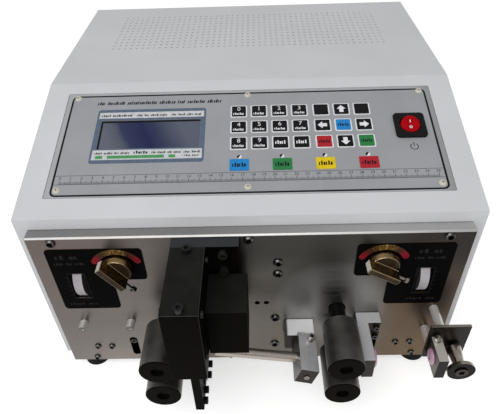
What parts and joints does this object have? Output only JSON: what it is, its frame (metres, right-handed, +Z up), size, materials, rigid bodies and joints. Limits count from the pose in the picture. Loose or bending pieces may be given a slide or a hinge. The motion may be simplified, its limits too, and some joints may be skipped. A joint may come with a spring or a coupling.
{
  "type": "wire cutting stripping machine",
  "caption": "Bench machine with a sloped keypad cabinet and a bare front plate that carries feed rollers, a V blade cutter head, a swinging conduit and wire guides to cut and strip wire.",
  "frame": {"origin": "middle of the outer box, on the surface that the feet stand on", "axes": "+Z up, +Y from the front plate to the back, +X to the operator's right"},
  "size_m": [0.42, 0.4854, 0.257],
  "materials": {
    "paint": "pale grey satin powder coat",
    "plain_sheet": "zinc plated sheet",
    "plate_metal": "brushed and clear anodised",
    "block_metal": "milled",
    "rubber": "matt black",
    "overlay": "printed membrane",
    "display": "dark display",
    "pale_screw": "pale cap heads",
    "black_plastic": "fine grain",
    "red_plastic": "glossy translucent red",
    "circuit": "solder mask",
    "supply_case": "perforated case",
    "steel": "turned",
    "nickel": "nickel plated",
    "dial": "black film",
    "brass": "aged turned brass",
    "motor": "black",
    "black_oxide": "black oxide steel",
    "roller_metal": "gunmetal, dark",
    "white_plastic": "ribbed rim",
    "blade_steel": "ground",
    "ceramic": "pink sintered ceramic",
    "dark_steel": "polished dark steel"
  },
  "bodies": {
    "frame": {"base_pan": "plain_sheet", "cabinet_cover": "paint", "rear_panel": "paint", "front_plate": "plate_metal", "rubber_feet": "rubber", "keypad_overlay": "overlay", "lcd_module": "display", "panel_screws": "pale_screw", "switch_housing": "black_plastic", "control_board": "circuit", "power_supply": "supply_case", "power_inlet": "black_plastic", "plate_screws": "nickel", "dial_plates": "dial", "knob_collars": "brass", "wheel_brackets": "plain_sheet", "feed_motors": "motor", "motor_brackets": "plain_sheet", "arm_guides": "steel", "shaft_bearings": "steel", "cutter_motor": "motor", "cutter_base": "black_oxide", "cutter_housing": "black_oxide", "cutter_screws": "black_oxide", "swing_solenoid": "black_plastic", "conduit_base": "block_metal", "inlet_bracket": "block_metal", "ceramic_eyelets": "ceramic", "guide_posts": "steel", "guide_bracket": "dark_steel", "guide_bar": "block_metal", "guide_screws": "nickel"},
    "power_rocker": {"switch_rocker": "red_plastic"},
    "left_lift_knob": {"left_knob": "brass", "left_knob_screw": "nickel"},
    "right_lift_knob": {"right_knob": "brass", "right_knob_screw": "nickel"},
    "left_lift": {"left_lift_arm": "block_metal"},
    "right_lift": {"right_lift_arm": "block_metal"},
    "left_pressure_roller": {"left_upper_shaft": "black_oxide", "left_upper_roller": "roller_metal"},
    "right_pressure_roller": {"right_upper_shaft": "black_oxide", "right_upper_roller": "roller_metal"},
    "left_drive_roller": {"left_lower_shaft": "black_oxide", "left_lower_roller": "roller_metal"},
    "right_drive_roller": {"right_lower_shaft": "black_oxide", "right_lower_roller": "roller_metal"},
    "left_wheel": {"left_thumbwheel": "white_plastic"},
    "right_wheel": {"right_thumbwheel": "white_plastic"},
    "blade_crank": {"cutter_crank": "steel"},
    "upper_knife": {"upper_blade_carrier": "black_oxide", "upper_blade": "blade_steel"},
    "lower_knife": {"lower_blade_carrier": "black_oxide", "lower_blade": "blade_steel", "blade_screws": "black_oxide"},
    "conduit": {"swing_block": "block_metal", "conduit_screw": "nickel", "conduit_tube": "steel"},
    "plunger": {"solenoid_plunger": "steel"},
    "spool": {"guide_spool": "dark_steel"}
  },
  "joints": [
    {"name": "power_rocker_tip", "type": "hinge", "parent": "frame", "child": "power_rocker", "pos_m": [0.1585, -0.04816, 0.23715], "axis": [1, 0, 0], "range_deg": [-18, 0]},
    {"name": "left_knob_turn", "type": "hinge", "parent": "frame", "child": "left_lift_knob", "pos_m": [-0.1215, -0.1573, 0.162], "axis": [0, 1, 0], "range_deg": [-90, 0]},
    {"name": "right_knob_turn", "type": "hinge", "parent": "frame", "child": "right_lift_knob", "pos_m": [0.1215, -0.1573, 0.162], "axis": [0, 1, 0], "range_deg": [0, 90]},
    {"name": "left_lift_slide", "type": "slide", "parent": "frame", "child": "left_lift", "axis": [0, 0, 1], "range_m": [-0.0056, 0]},
    {"name": "right_lift_slide", "type": "slide", "parent": "frame", "child": "right_lift", "axis": [0, 0, 1], "range_m": [-0.0056, 0]},
    {"name": "left_pressure_roller_spin", "type": "hinge", "parent": "left_lift", "child": "left_pressure_roller", "pos_m": [-0.085, -0.1573, 0.0955], "axis": [0, 1, 0], "continuous": true},
    {"name": "right_pressure_roller_spin", "type": "hinge", "parent": "right_lift", "child": "right_pressure_roller", "pos_m": [0.085, -0.1573, 0.0955], "axis": [0, 1, 0], "continuous": true},
    {"name": "left_drive_roller_spin", "type": "hinge", "parent": "frame", "child": "left_drive_roller", "pos_m": [-0.085, -0.1573, 0.0555], "axis": [0, 1, 0], "continuous": true},
    {"name": "right_drive_roller_spin", "type": "hinge", "parent": "frame", "child": "right_drive_roller", "pos_m": [0.085, -0.1573, 0.0555], "axis": [0, 1, 0], "continuous": true},
    {"name": "left_wheel_spin", "type": "hinge", "parent": "frame", "child": "left_wheel", "pos_m": [-0.163, -0.1373, 0.135], "axis": [1, 0, 0], "continuous": true},
    {"name": "right_wheel_spin", "type": "hinge", "parent": "frame", "child": "right_wheel", "pos_m": [0.163, -0.1373, 0.135], "axis": [1, 0, 0], "continuous": true},
    {"name": "crank_turn", "type": "hinge", "parent": "frame", "child": "blade_crank", "pos_m": [-0.05275, -0.1573, 0.152], "axis": [0, 1, 0], "range_deg": [0, 45]},
    {"name": "upper_knife_slide", "type": "slide", "parent": "frame", "child": "upper_knife", "axis": [0, 0, 1], "range_m": [-0.00495, 0]},
    {"name": "lower_knife_slide", "type": "slide", "parent": "frame", "child": "lower_knife", "axis": [0, 0, 1], "range_m": [0, 0.00495]},
    {"name": "conduit_swing", "type": "hinge", "parent": "frame", "child": "conduit", "pos_m": [0.051, -0.1773, 0.0725], "axis": [0, 1, 0], "range_deg": [-10.6, 0], "stiffness_Nm_per_rad": 0.15, "springref_deg": 22.92},
    {"name": "plunger_slide", "type": "slide", "parent": "frame", "child": "plunger", "axis": [0, 0, 1], "range_m": [-0.01335, 0]},
    {"name": "spool_spin", "type": "hinge", "parent": "frame", "child": "spool", "pos_m": [0.1963, -0.2023, 0.071], "axis": [0, 1, 0], "continuous": true}
  ],
  "couplings": [
    {"joint": "left_knob_turn", "follows": "left_lift_slide", "rad_per_m": 280.49},
    {"joint": "right_knob_turn", "follows": "right_lift_slide", "rad_per_m": -280.49},
    {"joint": "upper_knife_slide", "follows": "lower_knife_slide", "ratio": -1},
    {"joint": "crank_turn", "follows": "lower_knife_slide", "rad_per_m": 158.69},
    {"joint": "plunger_slide", "follows": "conduit_swing", "m_per_rad": 0.071821}
  ]
}
